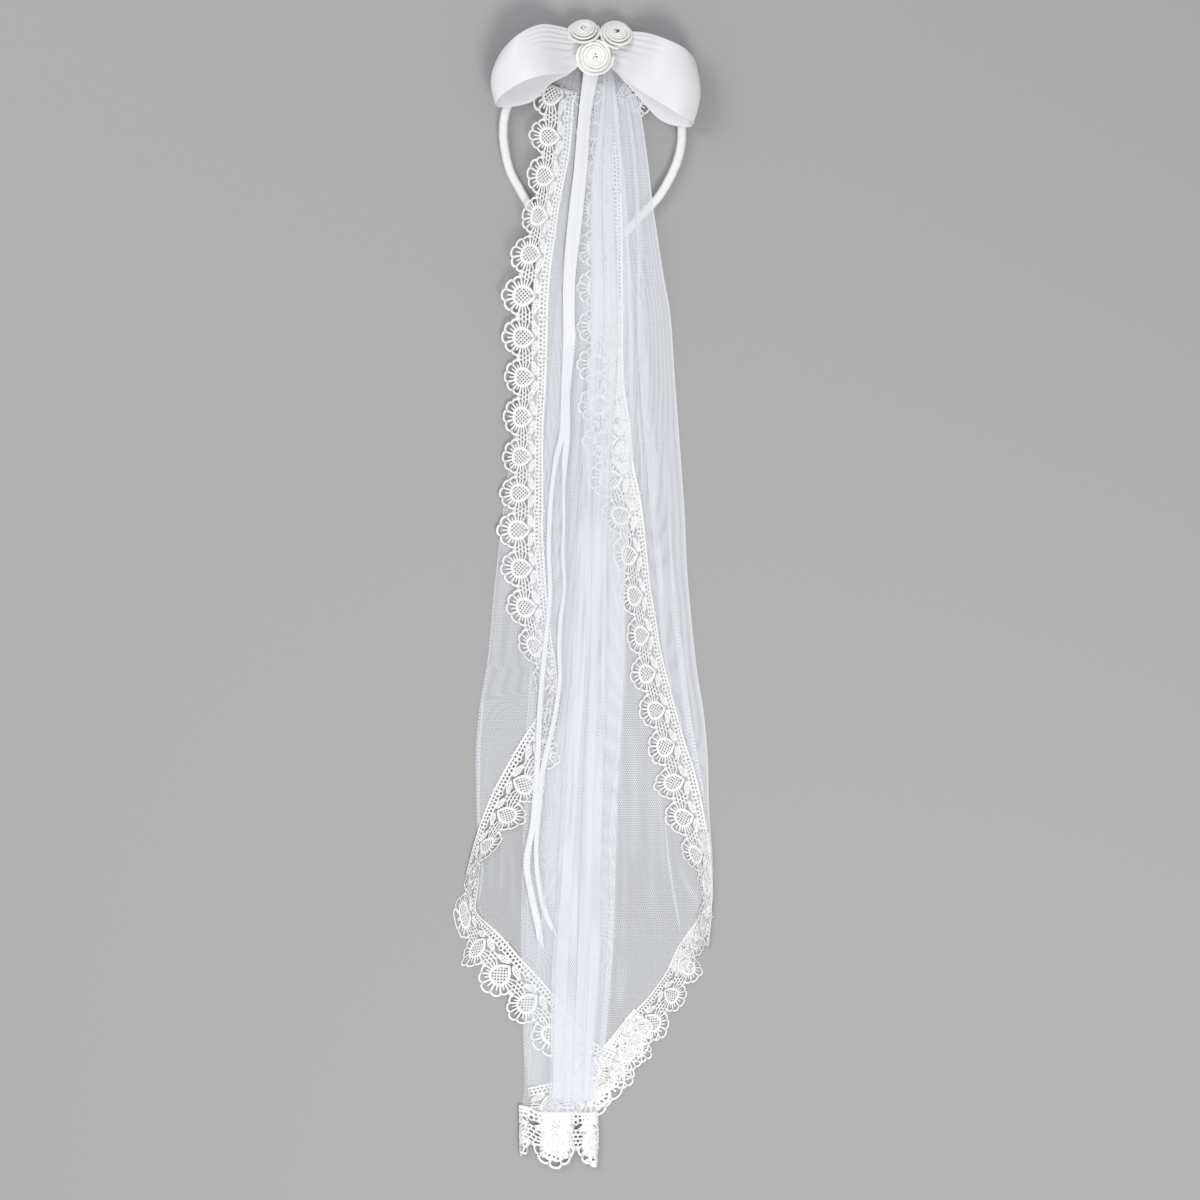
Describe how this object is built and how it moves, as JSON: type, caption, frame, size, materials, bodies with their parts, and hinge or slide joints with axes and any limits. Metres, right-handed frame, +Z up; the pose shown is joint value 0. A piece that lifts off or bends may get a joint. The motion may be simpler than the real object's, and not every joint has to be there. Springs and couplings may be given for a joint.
{
  "type": "communion veil on a headband",
  "caption": "Sheer tulle communion veil edged with scalloped lace, gathered under a satin bow with rolled rosettes on a wrapped headband, laid flat.",
  "frame": {"origin": "middle of the outline, on the surface that the veil lies on", "axes": "+Y from the hem towards the crown of the headband, +X to the right as laid, +Z up from the surface"},
  "size_m": [0.1835, 0.8048, 0.0336],
  "materials": {
    "band_satin": "white satin wrapped round a padded band",
    "bow_satin": "smooth white satin with a soft sheen",
    "rosette_satin": "ivory satin rolled into small roses",
    "stone": "clear cut stone",
    "tulle": "sheer cool white net",
    "lace": "warm white guipure lace",
    "streamer_satin": "narrow white satin ribbon"
  },
  "bodies": {
    "root": {"headband": "band_satin", "bow_loop_left": "bow_satin", "bow_loop_right": "bow_satin", "bow_middle": "bow_satin", "rosette_lower": "rosette_satin", "rosette_left": "rosette_satin", "rosette_right": "rosette_satin", "stone_lower": "stone", "stone_left": "stone", "stone_right": "stone", "tulle_back": "tulle", "tulle_left_turn": "tulle", "tulle_left_front": "tulle", "tulle_under_pleat": "tulle", "tulle_middle_pleat": "tulle", "tulle_right_turn": "tulle", "lace_left_front": "lace", "lace_left_turn": "lace", "lace_left_hem": "lace", "lace_middle_hem": "lace", "lace_right_hem": "lace", "lace_right_turn": "lace", "streamer_outer": "streamer_satin", "streamer_inner": "streamer_satin"}
  },
  "joints": []
}
